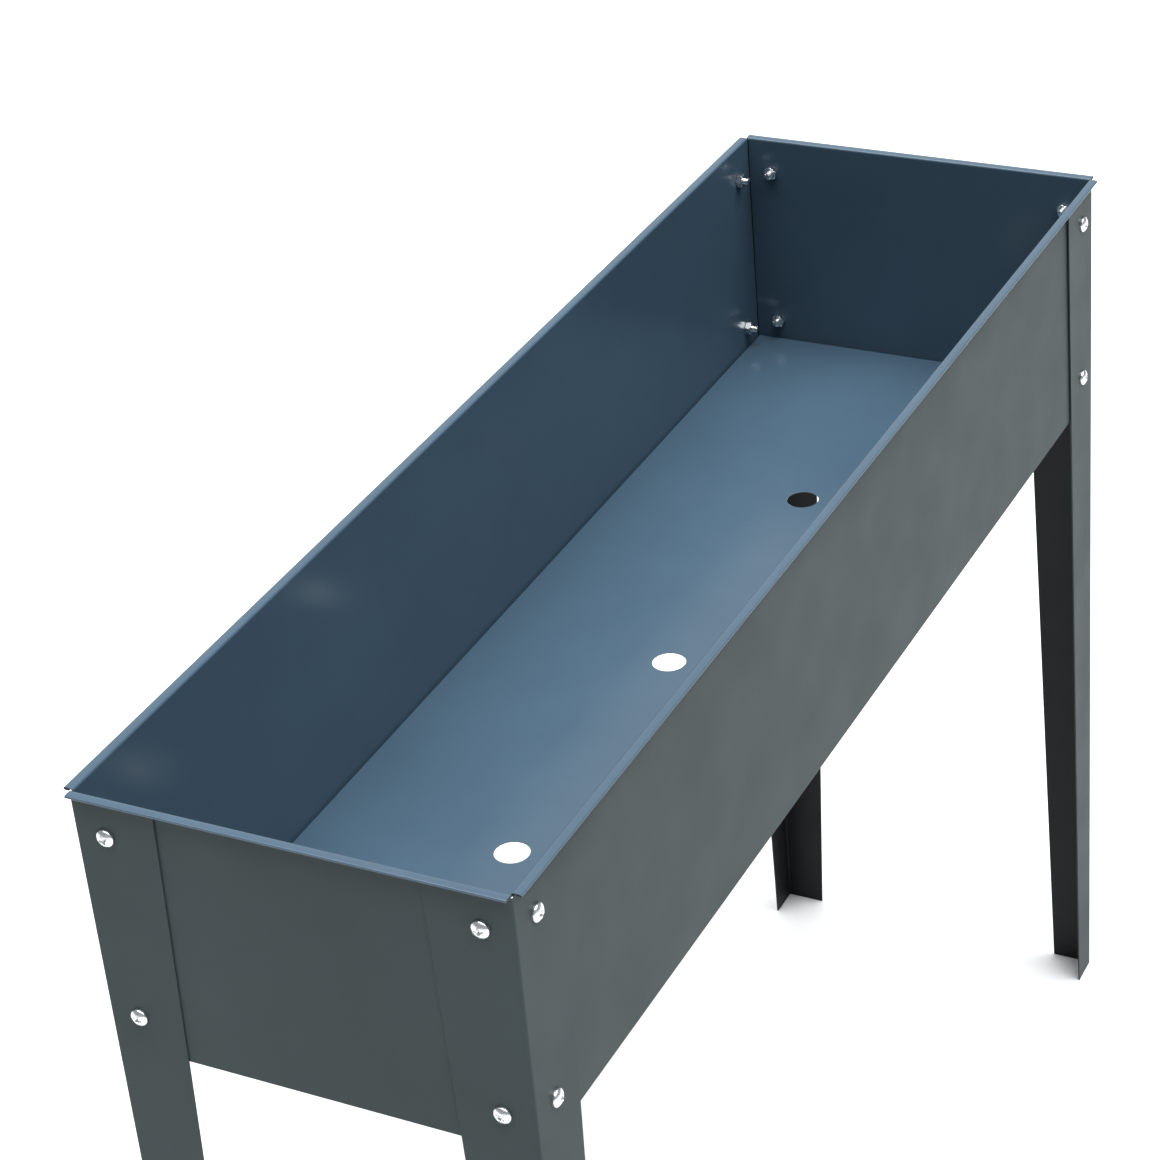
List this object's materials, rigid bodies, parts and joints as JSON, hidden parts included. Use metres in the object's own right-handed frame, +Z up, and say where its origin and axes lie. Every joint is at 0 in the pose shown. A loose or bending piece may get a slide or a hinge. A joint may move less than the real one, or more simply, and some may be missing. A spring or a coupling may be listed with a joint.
{
  "type": "raised planter on legs",
  "caption": "Long shallow rectangular sheet-metal planting trough with a rolled outward rim and a drained floor, bolted to tapered angle legs at its corners.",
  "frame": {"origin": "on the ground, under the centre of the planter's bounding box", "axes": "+X along the long side, +Y across the width, +Z up; the front is -Y and the left end is -X"},
  "size_m": [1.023, 0.313, 0.79],
  "materials": {
    "panel_coat": "semi-gloss anthracite grey outside, slate blue inside and on the rim",
    "tray_coat": "semi-gloss slate blue",
    "leg_coat": "semi-gloss anthracite grey",
    "zinc_plate": "bright zinc plate"
  },
  "bodies": {
    "root": {"side_panel_front": "panel_coat", "side_panel_back": "panel_coat", "end_panel_left": "panel_coat", "end_panel_right": "panel_coat", "floor_tray": "tray_coat", "leg_front_left": "leg_coat", "leg_front_right": "leg_coat", "leg_back_left": "leg_coat", "leg_back_right": "leg_coat", "screw_front_left_side_upper": "zinc_plate", "screw_front_left_side_lower": "zinc_plate", "screw_front_left_end_upper": "zinc_plate", "screw_front_left_end_lower": "zinc_plate", "screw_front_right_side_upper": "zinc_plate", "screw_front_right_side_lower": "zinc_plate", "screw_front_right_end_upper": "zinc_plate", "screw_front_right_end_lower": "zinc_plate", "screw_back_left_side_upper": "zinc_plate", "screw_back_left_side_lower": "zinc_plate", "screw_back_left_end_upper": "zinc_plate", "screw_back_left_end_lower": "zinc_plate", "screw_back_right_side_upper": "zinc_plate", "screw_back_right_side_lower": "zinc_plate", "screw_back_right_end_upper": "zinc_plate", "screw_back_right_end_lower": "zinc_plate", "nut_front_left_side_upper": "zinc_plate", "nut_front_left_side_lower": "zinc_plate", "nut_front_left_end_upper": "zinc_plate", "nut_front_left_end_lower": "zinc_plate", "nut_front_right_side_upper": "zinc_plate", "nut_front_right_side_lower": "zinc_plate", "nut_front_right_end_upper": "zinc_plate", "nut_front_right_end_lower": "zinc_plate", "nut_back_left_side_upper": "zinc_plate", "nut_back_left_side_lower": "zinc_plate", "nut_back_left_end_upper": "zinc_plate", "nut_back_left_end_lower": "zinc_plate", "nut_back_right_side_upper": "zinc_plate", "nut_back_right_side_lower": "zinc_plate", "nut_back_right_end_upper": "zinc_plate", "nut_back_right_end_lower": "zinc_plate"}
  },
  "joints": []
}
